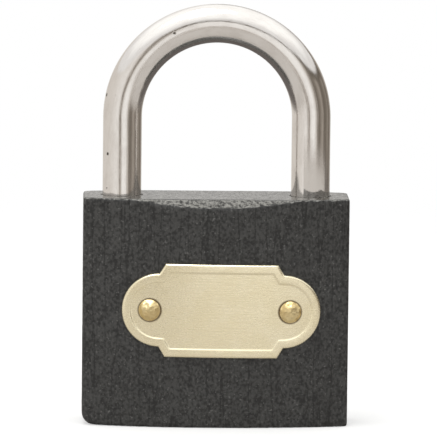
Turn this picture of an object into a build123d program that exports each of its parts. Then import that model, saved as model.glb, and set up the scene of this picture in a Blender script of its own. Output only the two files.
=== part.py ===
from build123d import *
import math
import os

# A small pin tumbler padlock: a painted cast-iron body with a brass nameplate riveted to its
# front, a plated steel shackle, and a brass key plug in the underside that draws a sprung bolt.
# Origin: middle of the underside. +Z runs up along the legs, -Y is the front, +X the toe side.
# The plug stands at its open position with the bolt drawn, as it does under the right key.

# --- body casting -----------------------------------------------------------------------------
BODY_WIDTH = 50.0
BODY_HEIGHT = 43.0
BODY_DEPTH = 18.5  # front to back on the centre line
BODY_END_DEPTH = 12.0  # front to back at the two ends
CAST_CORNER = 2.2  # lower corner on the cast (heel) side
CAST_EDGE = 0.9  # upright edges on the cast side
GROUND_EDGE = 0.8  # upright edges on the ground (toe) side
WORN_EDGE = 0.3  # every other outside edge
BEVEL_START = 1.41  # how far inside the faces the two top bevels start
BEVEL_ANGLE = 50.0  # degrees down from level
LEG_WALL = 3.5  # iron left outside each leg bore

# --- shackle ----------------------------------------------------------------------------------
SHACKLE_DIAMETER = 7.3
SHACKLE_CLEAR_HEIGHT = 28.8  # under the bow, above the body
LEG_CLEARANCE = 0.10  # radial, leg in bore
NECK_DIAMETER = 4.6
COLLAR_LENGTH = 3.0
HEEL_END_Z = 12.0
LEG_END_CHAMFER = 0.6
TOE_OUT_GAP = 0.7  # toe above the body when the shackle is up
HEEL_PIN_DIAMETER = 2.5
HEEL_PIN_DROP = 13.0  # pin axis below the body's top
HEEL_PIN_FRONT_Y = -4.5
HEEL_BORE_FLOOR_Z = 3.5
NECK_SLACK = 0.3  # neck shoulder above the pin, shackle down
STOP_SLACK = 0.25  # collar under the pin, shackle up

# --- bolt -------------------------------------------------------------------------------------
BOLT_DIAMETER = 6.0
BOLT_CLEARANCE = 0.05  # radial
BOLT_DROP = 8.0  # bolt axis below the body's top
TONGUE_THICKNESS = 3.6
TONGUE_LENGTH = 4.5
NOSE_BEVEL = 1.5
NOTCH_DEPTH = 2.3
NOTCH_GAP = 0.3  # above, below and in front of the thrown nose
TOE_BELOW_NOTCH = 2.7
BOLT_REAR_X = -5.0
BOLT_BORE_FLOOR_X = -10.5
BOLT_SPIGOT_DIAMETER = 2.8
BOLT_SPIGOT_LENGTH = 1.5

# --- key plug and its cam ---------------------------------------------------------------------
PLUG_DIAMETER = 11.8
PLUG_CLEARANCE = 0.05  # radial
PLUG_RECESS = 0.2  # face above the body's underside
PLUG_FACE_CHAMFER = 0.4
CAM_ECCENTRICITY = 2.2
CAM_DIAMETER = 2.0
CAM_SEAT_DEPTH = 3.5
CAM_ENGAGEMENT = 0.4  # cam top above the bolt's axis
CAM_CLEARANCE = 0.3
SLOT_CLEARANCE = 0.12
CAM_REST_ANGLE = 225.0  # degrees about +Z from +X, plug open
KEY_TURN = 90.0
KEYWAY_WIDTH = 2.0
KEYWAY_HALF_HEIGHT = 4.1
KEYWAY_PAST_PIN = 1.2  # keyway above the last pin
WARD_OFFSET = 1.0  # from the keyway's middle to a ward
WARD_DEPTH = 0.55
WARD_HEIGHT = 1.3
PLUG_PIN_DIAMETER = 2.0
PLUG_PIN_FRONT_Y = -4.0
PLUG_PIN_WALL = 1.9  # brass between the last pin hole and the retaining pin
PLUG_HEAD_LENGTH = 3.0  # plug above its retaining pin
PLUG_GROOVE_DEPTH = 1.0
PLUG_GROOVE_SLACK = 0.1
PLUG_HEAD_ROOM = 0.2  # bore above the plug

# --- pin stacks -------------------------------------------------------------------------------
FIRST_PIN_Z = 7.0
PIN_PITCH = 4.2
KEY_PIN_LENGTHS = (5.2, 6.4, 4.6, 5.8)
CHAMBER_DIAMETER = 3.0
PIN_CLEARANCE = 0.05  # radial, and each side of the shear line
PIN_CHAMFER = 0.4
KEY_PIN_POINT = 0.9
PIN_HOLE_PAST_CENTRE = 2.2
DRIVER_LENGTH = 4.6
CHAMBER_PLUG_LENGTH = 5.0

# --- springs ----------------------------------------------------------------------------------
SPRING_GAP = 0.05
PIN_SPRING_WIRE = 0.3
PIN_SPRING_TURNS = 7
BOLT_SPRING_WIRE = 0.5
BOLT_SPRING_MEAN_DIAMETER = 4.2
BOLT_SPRING_TURNS = 4
SHACKLE_SPRING_WIRE = 0.8
SHACKLE_SPRING_MEAN_DIAMETER = 5.6
SHACKLE_SPRING_TURNS = 5

# --- nameplate --------------------------------------------------------------------------------
PLATE_SIDE_MARGIN = 6.4  # body width left beside the plate, each side on average
PLATE_HEIGHT = 17.66
PLATE_EAR_RADIUS = 6.93
PLATE_CORNER_RUN = 1.15
PLATE_THICKNESS = 0.5
RIM_WIDTH = 1.5
RIM_RISE = 0.2  # rim above the panel
PLATE_CENTRE_X = 1.0
PLATE_CENTRE_Z = 22.1
PLATE_TILT = 0.5  # degrees, right end low
RIVET_PAST_EAR_CENTRE = 1.41
RIVET_SHIFT = -0.27  # both rivets, off the plate's middle
RIVET_HEAD_DIAMETER = 4.0
RIVET_HEAD_HEIGHT = 1.15
RIVET_SHANK_DIAMETER = 1.6
RIVET_SHANK_LENGTH = 3.4
RIVET_HOLE_SLACK = 0.4  # hole past the shank's end

# --- modelling --------------------------------------------------------------------------------
OVERSHOOT = 1.0  # how far a cut runs past the face it opens
SAME_PLACE = 0.01  # heights closer than this are one height

# --- worked out from the above ----------------------------------------------------------------
HALF_WIDTH = BODY_WIDTH / 2
FACE_RISE = (BODY_DEPTH - BODY_END_DEPTH) / 2
FACE_RADIUS = (HALF_WIDTH**2 + FACE_RISE**2) / (2 * FACE_RISE)
FACE_CENTRE_Y = FACE_RADIUS - BODY_DEPTH / 2

SHACKLE_RADIUS = SHACKLE_DIAMETER / 2
LEG_BORE_RADIUS = SHACKLE_RADIUS + LEG_CLEARANCE
LEG_X = HALF_WIDTH - LEG_WALL - LEG_BORE_RADIUS
BOW_INNER_RADIUS = LEG_X - SHACKLE_RADIUS
BOW_CENTRE_Z = BODY_HEIGHT + SHACKLE_CLEAR_HEIGHT - BOW_INNER_RADIUS

BOLT_Z = BODY_HEIGHT - BOLT_DROP
BOLT_BORE_RADIUS = BOLT_DIAMETER / 2 + BOLT_CLEARANCE
BOLT_TRAVEL = 2 * CAM_ECCENTRICITY * math.sin(math.radians(KEY_TURN / 2))
NOTCH_FLOOR_X = LEG_X - SHACKLE_RADIUS + NOTCH_DEPTH
BOLT_NOSE_X = NOTCH_FLOOR_X - NOTCH_GAP - BOLT_TRAVEL
NOTCH_HALF_HEIGHT = TONGUE_THICKNESS / 2 + NOTCH_GAP
TOE_END_Z = BOLT_Z - NOTCH_HALF_HEIGHT - TOE_BELOW_NOTCH
SHACKLE_LIFT = BODY_HEIGHT + TOE_OUT_GAP - TOE_END_Z

NECK_RADIUS = NECK_DIAMETER / 2
HEEL_PIN_RADIUS = HEEL_PIN_DIAMETER / 2
HEEL_PIN_Z = BODY_HEIGHT - HEEL_PIN_DROP
HEEL_PIN_X = -LEG_X + NECK_RADIUS + LEG_CLEARANCE + HEEL_PIN_RADIUS
NECK_TOP_Z = HEEL_PIN_Z + HEEL_PIN_RADIUS + NECK_SLACK
NECK_BOTTOM_Z = HEEL_PIN_Z - HEEL_PIN_RADIUS - STOP_SLACK - SHACKLE_LIFT
HEEL_FOOT_Z = NECK_BOTTOM_Z - COLLAR_LENGTH

PIN_COUNT = len(KEY_PIN_LENGTHS)
PIN_Z = [FIRST_PIN_Z + PIN_PITCH * i for i in range(PIN_COUNT)]
PIN_RADIUS = CHAMBER_DIAMETER / 2 - PIN_CLEARANCE
PLUG_RADIUS = PLUG_DIAMETER / 2
PLUG_BORE_RADIUS = PLUG_RADIUS + PLUG_CLEARANCE
PLUG_PIN_RADIUS = PLUG_PIN_DIAMETER / 2
PLUG_PIN_Z = PIN_Z[-1] + CHAMBER_DIAMETER / 2 + PLUG_PIN_WALL + PLUG_PIN_RADIUS
PLUG_TOP_Z = PLUG_PIN_Z + PLUG_PIN_RADIUS + PLUG_HEAD_LENGTH
PLUG_GROOVE_RADIUS = PLUG_RADIUS - PLUG_GROOVE_DEPTH
PLUG_PIN_X = -(PLUG_GROOVE_RADIUS + PLUG_GROOVE_SLACK + PLUG_PIN_RADIUS)
KEYWAY_TOP_Z = PIN_Z[-1] + CHAMBER_DIAMETER / 2 + KEYWAY_PAST_PIN
CAM_RADIUS = CAM_DIAMETER / 2
CAM_TOP_Z = BOLT_Z + CAM_ENGAGEMENT
CAM_ROOM_RADIUS = CAM_ECCENTRICITY + CAM_RADIUS + CAM_CLEARANCE

DRIVER_INNER_X = PLUG_BORE_RADIUS + PIN_CLEARANCE
DRIVER_OUTER_X = DRIVER_INNER_X + DRIVER_LENGTH
CHAMBER_PLUG_X = HALF_WIDTH - CHAMBER_PLUG_LENGTH

PLATE_HALF_HEIGHT = PLATE_HEIGHT / 2
PLATE_EAR_X = HALF_WIDTH - PLATE_SIDE_MARGIN - PLATE_EAR_RADIUS
PLATE_CORNER_RISE = PLATE_HALF_HEIGHT - PLATE_EAR_RADIUS
PLATE_CORNER_TURN = math.atan2(PLATE_CORNER_RISE, PLATE_CORNER_RUN)
RIVET_SPREAD = PLATE_EAR_X + RIVET_PAST_EAR_CENTRE


def rod(start, direction, radius, length):
    """A round bar from a point, along a direction."""
    place = Plane(origin=start, z_dir=direction)
    return place * Pos(0, 0, length / 2) * Cylinder(radius, length)


def block(x, y, z):
    """A box between two limits along each axis."""
    size = [high - low for low, high in (x, y, z)]
    middle = [(high + low) / 2 for low, high in (x, y, z)]
    return Pos(*middle) * Box(*size)


def coil(mean_radius, wire, turns, length):
    """A compression spring standing on the XY plane, its wire inside the given length."""
    rise = length - wire
    path = Helix(pitch=rise / turns, height=rise, radius=mean_radius)
    section = Plane(origin=path @ 0, z_dir=path % 0) * Circle(wire / 2)
    return Pos(0, 0, wire / 2) * sweep(section, path=path)


def along_x(shape, x, z):
    """Lay a shape that stands on +Z along +X, its foot at x, on the body's middle plane."""
    return Pos(x, 0, z) * Rot(0, 90, 0) * shape


def plate_spot(side, height):
    """The spot of the left (-1) or right (1) rivet, at a height above the body's face."""
    tilt = math.radians(PLATE_TILT)
    along = side * RIVET_SPREAD + RIVET_SHIFT
    x = PLATE_CENTRE_X + along * math.cos(tilt)
    z = PLATE_CENTRE_Z - along * math.sin(tilt)
    turn = math.asin(x / FACE_RADIUS)
    reach = FACE_RADIUS + height
    outward = (math.sin(turn), -math.cos(turn), 0)
    origin = (reach * outward[0], FACE_CENTRE_Y + reach * outward[1], z)
    return Plane(origin=origin, x_dir=(-outward[1], outward[0], 0), z_dir=outward)


# --- body -------------------------------------------------------------------------------------
def casting():
    """The iron block before drilling: curved faces, cast edges left, ground edges right."""
    front = ThreePointArc(
        (-HALF_WIDTH, -BODY_END_DEPTH / 2), (0, -BODY_DEPTH / 2), (HALF_WIDTH, -BODY_END_DEPTH / 2)
    )
    right = Line(front @ 1, (HALF_WIDTH, BODY_END_DEPTH / 2))
    back = ThreePointArc(
        right @ 1, (0, BODY_DEPTH / 2), (-HALF_WIDTH, BODY_END_DEPTH / 2)
    )
    left = Line(back @ 1, front @ 0)
    shape = extrude(make_face(Curve() + [front, right, back, left]), BODY_HEIGHT)
    low_edge = shape.edges().filter_by(Axis.Y).group_by(Axis.X)[0].sort_by(Axis.Z)[0]
    shape = fillet(low_edge, CAST_CORNER)
    shape = top_bevels(shape)
    cast_end, *_, ground_end = shape.faces().sort_by(Axis.X)
    shape = fillet(cast_end.edges().filter_by(Axis.Z), CAST_EDGE)
    shape = fillet(ground_end.edges().filter_by(Axis.Z), GROUND_EDGE)
    top = shape.faces().sort_by(Axis.Z)[-1]
    bottom = shape.faces().sort_by(Axis.Z)[0]
    return fillet(top.edges() + bottom.edges(), WORN_EDGE)


def top_bevels(shape):
    """Cut the two flat bevels that cross the top edge between the legs."""
    start = BODY_DEPTH / 2 - BEVEL_START
    reach = BODY_DEPTH
    drop = reach * math.tan(math.radians(BEVEL_ANGLE))
    wedge = Plane.YZ * Polygon(
        (start, BODY_HEIGHT),
        (start + reach, BODY_HEIGHT - drop),
        (start + reach, BODY_HEIGHT + reach),
        (start, BODY_HEIGHT + reach),
        align=None,
    )
    cutter = extrude(wedge, BODY_WIDTH, both=True)
    return shape - cutter - cutter.mirror(Plane.XZ)


def leg_bores():
    """The deep heel bore and the short toe bore, from above."""
    heel_depth = BODY_HEIGHT - HEEL_BORE_FLOOR_Z
    toe_floor = TOE_END_Z - NOTCH_GAP
    heel = rod((-LEG_X, 0, HEEL_BORE_FLOOR_Z), (0, 0, 1), LEG_BORE_RADIUS, heel_depth)
    toe = rod((LEG_X, 0, toe_floor), (0, 0, 1), LEG_BORE_RADIUS, BODY_HEIGHT - toe_floor)
    return heel + toe


def bolt_bore():
    """The bolt's bore, drilled from the toe side through the toe bore."""
    length = HALF_WIDTH - BOLT_BORE_FLOOR_X
    return rod((BOLT_BORE_FLOOR_X, 0, BOLT_Z), (1, 0, 0), BOLT_BORE_RADIUS, length)


def plug_bore():
    """The plug's bore from below, and the smaller room above it for the cam."""
    top = PLUG_TOP_Z + PLUG_HEAD_ROOM
    room = CAM_TOP_Z + CAM_CLEARANCE
    return rod((0, 0, 0), (0, 0, 1), PLUG_BORE_RADIUS, top) + rod(
        (0, 0, 0), (0, 0, 1), CAM_ROOM_RADIUS, room
    )


def chambers():
    """The pin chambers, drilled from the toe side into the plug's bore."""
    return [rod((0, 0, z), (1, 0, 0), CHAMBER_DIAMETER / 2, HALF_WIDTH) for z in PIN_Z]


def rivet_holes(foot, diameter, depth):
    """Holes for the two rivets, sunk from a height above the body's face."""
    return [
        plate_spot(side, foot) * Pos(0, 0, -depth / 2) * Cylinder(diameter / 2, depth)
        for side in (-1, 1)
    ]


def body():
    """The drilled casting."""
    drilled = casting() - leg_bores() - bolt_bore() - plug_bore() - chambers()
    drilled -= [shackle_pin(), plug_retaining_pin()]
    depth = OVERSHOOT + RIVET_SHANK_LENGTH + RIVET_HOLE_SLACK
    return drilled - rivet_holes(OVERSHOOT, RIVET_SHANK_DIAMETER, depth)


# --- shackle and what holds it ----------------------------------------------------------------
def shackle():
    """The bent bar: long heel leg with neck and collar, short notched toe leg."""
    heel = Line((-LEG_X, 0, HEEL_FOOT_Z), (-LEG_X, 0, BOW_CENTRE_Z))
    bow = ThreePointArc(heel @ 1, (0, 0, BOW_CENTRE_Z + LEG_X), (LEG_X, 0, BOW_CENTRE_Z))
    toe = Line(bow @ 1, (LEG_X, 0, TOE_END_Z))
    section = Plane(origin=heel @ 0, z_dir=(0, 0, 1)) * Circle(SHACKLE_RADIUS)
    bar = sweep(section, path=Wire([heel, bow, toe]))
    ends = bar.edges().filter_by(GeomType.CIRCLE).filter_by(
        lambda edge: min(abs(edge.center().Z - z) for z in (HEEL_FOOT_Z, TOE_END_Z)) < SAME_PLACE
    )
    bar = chamfer(ends, LEG_END_CHAMFER)
    return bar - neck_cut() - notch_cut()


def neck_cut():
    """The ring turned off the heel leg, where the retaining pin slides."""
    length = NECK_TOP_Z - NECK_BOTTOM_Z
    foot = (-LEG_X, 0, NECK_BOTTOM_Z)
    outside = rod(foot, (0, 0, 1), SHACKLE_DIAMETER, length)
    return outside - rod(foot, (0, 0, 1), NECK_RADIUS, length)


def notch_cut():
    """The catch milled across the toe leg's inner side."""
    outer = LEG_X - SHACKLE_DIAMETER
    return block(
        (outer, NOTCH_FLOOR_X),
        (-SHACKLE_DIAMETER, SHACKLE_DIAMETER),
        (BOLT_Z - NOTCH_HALF_HEIGHT, BOLT_Z + NOTCH_HALF_HEIGHT),
    )


def back_y(x):
    """The body's back face at x."""
    return math.sqrt(FACE_RADIUS**2 - x**2) - FACE_CENTRE_Y


def cross_pin(x, z, radius, front_y):
    """A pin driven in from the back, square across the body, ending flush behind."""
    flush = back_y(abs(x) + radius)
    return rod((x, front_y, z), (0, 1, 0), radius, flush - front_y)


def shackle_pin():
    """The pin beside the heel leg's neck."""
    return cross_pin(HEEL_PIN_X, HEEL_PIN_Z, HEEL_PIN_RADIUS, HEEL_PIN_FRONT_Y)


def shackle_spring():
    """The spring under the heel leg."""
    length = HEEL_FOOT_Z - HEEL_BORE_FLOOR_Z - 2 * SPRING_GAP
    spring = coil(
        SHACKLE_SPRING_MEAN_DIAMETER / 2, SHACKLE_SPRING_WIRE, SHACKLE_SPRING_TURNS, length
    )
    return Pos(-LEG_X, 0, HEEL_BORE_FLOOR_Z + SPRING_GAP) * spring


# --- bolt -------------------------------------------------------------------------------------
def locking_bolt():
    """The drawn bolt: round shank, flat bevelled tongue, cam slot below and spring spigot."""
    radius = BOLT_DIAMETER / 2
    shank = rod((BOLT_REAR_X, 0, BOLT_Z), (1, 0, 0), radius, BOLT_NOSE_X - BOLT_REAR_X)
    spigot_start = (BOLT_REAR_X - BOLT_SPIGOT_LENGTH, 0, BOLT_Z)
    spigot = rod(spigot_start, (1, 0, 0), BOLT_SPIGOT_DIAMETER / 2, BOLT_SPIGOT_LENGTH)
    return shank + spigot - tongue_cuts() - cam_slot()


def tongue_cuts():
    """What is milled off above and below the tongue, and its sloping upper tip."""
    past_nose = BOLT_NOSE_X + OVERSHOOT
    x = (BOLT_NOSE_X - TONGUE_LENGTH, past_nose)
    y = (-BOLT_DIAMETER, BOLT_DIAMETER)
    half = TONGUE_THICKNESS / 2
    upper = block(x, y, (BOLT_Z + half, BOLT_Z + BOLT_DIAMETER))
    lower = block(x, y, (BOLT_Z - BOLT_DIAMETER, BOLT_Z - half))
    slope = Plane.XZ * Polygon(
        (BOLT_NOSE_X - NOSE_BEVEL, BOLT_Z + half),
        (BOLT_NOSE_X, BOLT_Z + half - NOSE_BEVEL),
        (past_nose, BOLT_Z + half - NOSE_BEVEL),
        (past_nose, BOLT_Z + half),
        align=None,
    )
    return [upper, lower, extrude(slope, BOLT_DIAMETER, both=True)]


def cam_slot():
    """Room for the cam: its rear wall draws the bolt, its length lets the bolt spring back."""
    turn = math.radians(CAM_REST_ANGLE)
    cam_x = CAM_ECCENTRICITY * math.cos(turn)
    cam_y = CAM_ECCENTRICITY * math.sin(turn)
    inner_y = cam_y + CAM_RADIUS + SLOT_CLEARANCE
    rear_x = cam_x - CAM_RADIUS - SLOT_CLEARANCE
    return block(
        (rear_x, -rear_x),
        (-BOLT_DIAMETER, inner_y),
        (BOLT_Z - BOLT_DIAMETER, CAM_TOP_Z + CAM_CLEARANCE),
    )


def bolt_spring():
    """The spring behind the bolt, over its spigot."""
    length = BOLT_REAR_X - BOLT_BORE_FLOOR_X - 2 * SPRING_GAP
    spring = coil(BOLT_SPRING_MEAN_DIAMETER / 2, BOLT_SPRING_WIRE, BOLT_SPRING_TURNS, length)
    return along_x(spring, BOLT_BORE_FLOOR_X + SPRING_GAP, BOLT_Z)


def bolt_bore_plug():
    """The disc that closes the bolt's bore, flush with the toe side."""
    start = LEG_X + LEG_BORE_RADIUS
    return rod((start, 0, BOLT_Z), (1, 0, 0), BOLT_BORE_RADIUS, HALF_WIDTH - start)


# --- key plug ---------------------------------------------------------------------------------
def opened(shape):
    """Turn what is made at the locked position to the open one."""
    return Rot(0, 0, -KEY_TURN) * shape


def key_plug():
    """The brass barrel with its keyway, pin holes, ring groove and cam seat."""
    barrel = rod((0, 0, PLUG_RECESS), (0, 0, 1), PLUG_RADIUS, PLUG_TOP_Z - PLUG_RECESS)
    barrel = chamfer(barrel.edges().group_by(Axis.Z)[0], PLUG_FACE_CHAMFER)
    barrel -= [keyway(), ring_groove()]
    barrel -= [key_pin_hole(z) for z in PIN_Z]
    return opened(barrel) - cam_pin()


def keyway():
    """A flat slot for the key with one ward standing into each side."""
    half = KEYWAY_WIDTH / 2
    z = (0, KEYWAY_TOP_Z)
    slot = block((-KEYWAY_HALF_HEIGHT, KEYWAY_HALF_HEIGHT), (-half, half), z)
    ward_end = WARD_OFFSET + WARD_HEIGHT
    low_ward = block((-ward_end, -WARD_OFFSET), (half - WARD_DEPTH, half), z)
    high_ward = block((WARD_OFFSET, ward_end), (-half, WARD_DEPTH - half), z)
    return slot - low_ward - high_ward


def ring_groove():
    """The groove round the plug that its retaining pin runs in."""
    half = PLUG_PIN_RADIUS + PLUG_GROOVE_SLACK
    foot = (0, 0, PLUG_PIN_Z - half)
    outside = rod(foot, (0, 0, 1), PLUG_DIAMETER, 2 * half)
    return outside - rod(foot, (0, 0, 1), PLUG_GROOVE_RADIUS, 2 * half)


def key_pin_hole(z):
    """One pin hole through the plug's side, past the keyway's middle."""
    start = (-PIN_HOLE_PAST_CENTRE, 0, z)
    return rod(start, (1, 0, 0), CHAMBER_DIAMETER / 2, PLUG_DIAMETER)


def plug_retaining_pin():
    """The pin from the back that lies in the plug's groove."""
    return cross_pin(PLUG_PIN_X, PLUG_PIN_Z, PLUG_PIN_RADIUS, PLUG_PIN_FRONT_Y)


def cam_pin():
    """The eccentric pin pressed in the plug's top, which draws the bolt."""
    turn = math.radians(CAM_REST_ANGLE)
    foot = PLUG_TOP_Z - CAM_SEAT_DEPTH
    start = (CAM_ECCENTRICITY * math.cos(turn), CAM_ECCENTRICITY * math.sin(turn), foot)
    return rod(start, (0, 0, 1), CAM_RADIUS, CAM_TOP_Z - foot)


# --- pin stacks -------------------------------------------------------------------------------
def key_pin(length, z):
    """A brass pin with a pointed inner end, its outer end at the shear line."""
    outer = PLUG_RADIUS - 2 * PIN_CLEARANCE
    pin = rod((outer - length, 0, z), (1, 0, 0), PIN_RADIUS, length)
    pin = chamfer(pin.edges().filter_by(GeomType.CIRCLE).sort_by(Axis.X)[0], KEY_PIN_POINT)
    pin = chamfer(pin.edges().filter_by(GeomType.CIRCLE).sort_by(Axis.X)[-1], PIN_CHAMFER)
    return opened(pin)


def driver_pin(z):
    """A steel pin held against the plug by its spring."""
    pin = rod((DRIVER_INNER_X, 0, z), (1, 0, 0), PIN_RADIUS, DRIVER_LENGTH)
    return chamfer(pin.edges().filter_by(GeomType.CIRCLE), PIN_CHAMFER)


def pin_spring(z):
    """The spring behind a driver pin."""
    length = CHAMBER_PLUG_X - DRIVER_OUTER_X - 2 * SPRING_GAP
    mean_radius = PIN_RADIUS - PIN_SPRING_WIRE
    spring = coil(mean_radius, PIN_SPRING_WIRE, PIN_SPRING_TURNS, length)
    return along_x(spring, DRIVER_OUTER_X + SPRING_GAP, z)


def chamber_plug(z):
    """The steel plug that closes a chamber, flush with the toe side."""
    return rod((CHAMBER_PLUG_X, 0, z), (1, 0, 0), CHAMBER_DIAMETER / 2, CHAMBER_PLUG_LENGTH)


# --- nameplate --------------------------------------------------------------------------------
def plate_outline(inset):
    """The plate's outline drawn in by an inset: a chamfered block with a round ear each side."""
    ear = PLATE_EAR_RADIUS - inset
    high = PLATE_HALF_HEIGHT - inset
    corner = PLATE_EAR_X - PLATE_CORNER_RUN - inset * math.tan(PLATE_CORNER_TURN / 2)
    shoulder = corner + PLATE_CORNER_RUN
    right = [(corner, -high), (shoulder, -ear), (shoulder, ear), (corner, high)]
    left = [(-x, z) for x, z in reversed(right)]
    outline = Polygon(*right, *left, align=None)
    return outline + [Pos(side * PLATE_EAR_X, 0) * Circle(ear) for side in (-1, 1)]


def sheet(inset, foot, thickness):
    """The outline as a sheet bent round the body's front, its back at foot above the face."""
    face = Plane.XZ * Pos(PLATE_CENTRE_X, PLATE_CENTRE_Z) * Rot(0, 0, -PLATE_TILT)
    blank = extrude(face * plate_outline(inset), BODY_DEPTH)
    middle = Pos(0, FACE_CENTRE_Y, PLATE_CENTRE_Z)
    height = 2 * PLATE_HEIGHT
    ring = middle * Cylinder(FACE_RADIUS + foot + thickness, height)
    ring -= middle * Cylinder(FACE_RADIUS + foot, height)
    return blank & ring


def nameplate():
    """The pressed brass plate: a raised rim round a plain panel, with two rivet holes."""
    plate = sheet(0, 0, PLATE_THICKNESS + RIM_RISE)
    plate -= sheet(RIM_WIDTH, PLATE_THICKNESS, RIM_RISE + OVERSHOOT)
    top = PLATE_THICKNESS + OVERSHOOT
    return plate - rivet_holes(top, RIVET_SHANK_DIAMETER, top + OVERSHOOT)


def rivet(side):
    """A drive rivet with a domed head, square to the face where it stands."""
    half = RIVET_HEAD_DIAMETER / 2
    ball = (half**2 + RIVET_HEAD_HEIGHT**2) / (2 * RIVET_HEAD_HEIGHT)
    head = Pos(0, 0, RIVET_HEAD_HEIGHT - ball) * Sphere(ball)
    head &= Pos(0, 0, RIVET_HEAD_HEIGHT / 2) * Cylinder(half, RIVET_HEAD_HEIGHT)
    shank_length = PLATE_THICKNESS + RIVET_SHANK_LENGTH
    shank = Pos(0, 0, -shank_length / 2) * Cylinder(RIVET_SHANK_DIAMETER / 2, shank_length)
    return plate_spot(side, PLATE_THICKNESS) * (head + shank)


def parts():
    """Every node by name."""
    made = {
        "body": body(),
        "shackle": shackle(),
        "shackle_pin": shackle_pin(),
        "shackle_spring": shackle_spring(),
        "locking_bolt": locking_bolt(),
        "bolt_spring": bolt_spring(),
        "bolt_bore_plug": bolt_bore_plug(),
        "key_plug": key_plug(),
        "cam_pin": cam_pin(),
        "plug_retaining_pin": plug_retaining_pin(),
        "nameplate": nameplate(),
        "rivet_left": rivet(-1),
        "rivet_right": rivet(1),
    }
    for number, (length, z) in enumerate(zip(KEY_PIN_LENGTHS, PIN_Z), start=1):
        made[f"key_pin_{number}"] = key_pin(length, z)
        made[f"driver_pin_{number}"] = driver_pin(z)
        made[f"pin_spring_{number}"] = pin_spring(z)
        made[f"chamber_plug_{number}"] = chamber_plug(z)
    return made


os.makedirs("parts", exist_ok=True)
for name, shape in parts().items():
    export_step(shape, f"parts/{name}.step")
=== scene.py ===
"""Finished look of a small padlock around its packed mechanical model.

An iron body in wrinkled enamel, a riveted brass nameplate and a plated shackle are built here as
fine meshes in place of their plain counterparts. The pieces that work inside the body keep their
own shapes and get their metals.
"""

import logging
import math
from collections.abc import Callable, Iterable
from dataclasses import dataclass
from enum import Enum
from typing import ClassVar

import bmesh
import bpy
from bmesh.types import BMesh
from bpy.types import Material, Node, NodeSocket, NodeTree, Object
from mathutils import Matrix, Vector, noise

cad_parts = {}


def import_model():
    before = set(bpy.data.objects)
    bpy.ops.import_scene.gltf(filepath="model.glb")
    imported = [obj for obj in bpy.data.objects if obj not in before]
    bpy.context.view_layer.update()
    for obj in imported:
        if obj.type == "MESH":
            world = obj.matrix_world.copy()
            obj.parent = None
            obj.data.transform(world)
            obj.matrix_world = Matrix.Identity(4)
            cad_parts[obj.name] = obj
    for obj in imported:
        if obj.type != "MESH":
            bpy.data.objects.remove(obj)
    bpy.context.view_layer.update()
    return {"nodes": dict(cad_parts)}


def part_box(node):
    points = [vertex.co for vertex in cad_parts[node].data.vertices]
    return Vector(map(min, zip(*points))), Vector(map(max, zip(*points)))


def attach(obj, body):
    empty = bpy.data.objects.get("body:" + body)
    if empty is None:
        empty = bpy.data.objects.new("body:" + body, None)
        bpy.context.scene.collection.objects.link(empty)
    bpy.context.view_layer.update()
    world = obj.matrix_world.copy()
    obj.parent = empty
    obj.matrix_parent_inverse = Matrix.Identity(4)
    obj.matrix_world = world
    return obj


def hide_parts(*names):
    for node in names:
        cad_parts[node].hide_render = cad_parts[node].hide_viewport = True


MM = 0.001
LOG = logging.getLogger("padlock")
Colour = tuple[float, float, float]
Value = NodeSocket | float | tuple[float, ...]


# ---- Meshes ----


class Body(Enum):
    """The moving bodies that a new piece can ride on."""

    CASE = "case"
    SHACKLE = "shackle_bar"


class Along(Enum):
    """The direction in which a hole is drilled, from its floor to its mouth."""

    X = Matrix.Rotation(math.radians(90), 4, "Y")
    Y = Matrix.Rotation(math.radians(-90), 4, "X")
    UP = Matrix.Identity(4)
    DOWN = Matrix.Rotation(math.pi, 4, "X")


@dataclass(frozen=True)
class Extent:
    """The box of one node of the mechanical model, in millimetres."""

    low: Vector
    high: Vector

    @classmethod
    def of(cls, node: str) -> "Extent":
        """Measure a node.

        Args:
            node: The node's name.

        Returns:
            Its box in millimetres.
        """
        low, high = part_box(node)
        return cls(Vector(low) / MM, Vector(high) / MM)

    @property
    def centre(self) -> Vector:
        """The middle of the box."""
        return (self.low + self.high) / 2

    @property
    def size(self) -> Vector:
        """The box's three sizes."""
        return self.high - self.low


def everything(bm: BMesh) -> list:
    """All of a shape's points, edges and faces."""
    return [*bm.verts, *bm.edges, *bm.faces]


def as_object(bm: BMesh, name: str) -> Object:
    """Add an object for a shape just as it is.

    Args:
        bm: The shape, which is freed.
        name: The name of the object and its mesh.

    Returns:
        The object.
    """
    mesh = bpy.data.meshes.new(name)
    bm.to_mesh(mesh)
    bm.free()
    obj = bpy.data.objects.new(name, mesh)
    bpy.context.scene.collection.objects.link(obj)
    return obj


def finished(bm: BMesh, name: str, sharp_angle: float) -> Object:
    """Add a smooth-shaded object in metres for a shape in millimetres.

    Args:
        bm: The shape, which is freed.
        name: The name of the object and its mesh.
        sharp_angle: Edges that turn by more than this many degrees stay sharp.

    Returns:
        The object.
    """
    bmesh.ops.recalc_face_normals(bm, faces=bm.faces)
    bmesh.ops.scale(bm, vec=Vector((MM, MM, MM)), verts=bm.verts)
    obj = as_object(bm, name)
    obj.data.shade_smooth()
    obj.data.set_sharp_from_angle(angle=math.radians(sharp_angle))
    return obj


def cuboid(size: Iterable[float], centre: Iterable[float]) -> BMesh:
    """Make a plain block.

    Args:
        size: Its three sizes.
        centre: Its middle.

    Returns:
        The block.
    """
    bm = bmesh.new()
    bmesh.ops.create_cube(bm, size=1)
    bmesh.ops.scale(bm, vec=size, verts=bm.verts)
    bmesh.ops.translate(bm, vec=centre, verts=bm.verts)
    return bm


def cut_across(bm: BMesh, places: Iterable[float]) -> None:
    """Cut a shape into columns.

    Args:
        bm: The shape.
        places: The x of each cut.
    """
    for x in places:
        bmesh.ops.bisect_plane(bm, geom=everything(bm), plane_co=(x, 0, 0), plane_no=(1, 0, 0))


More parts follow.
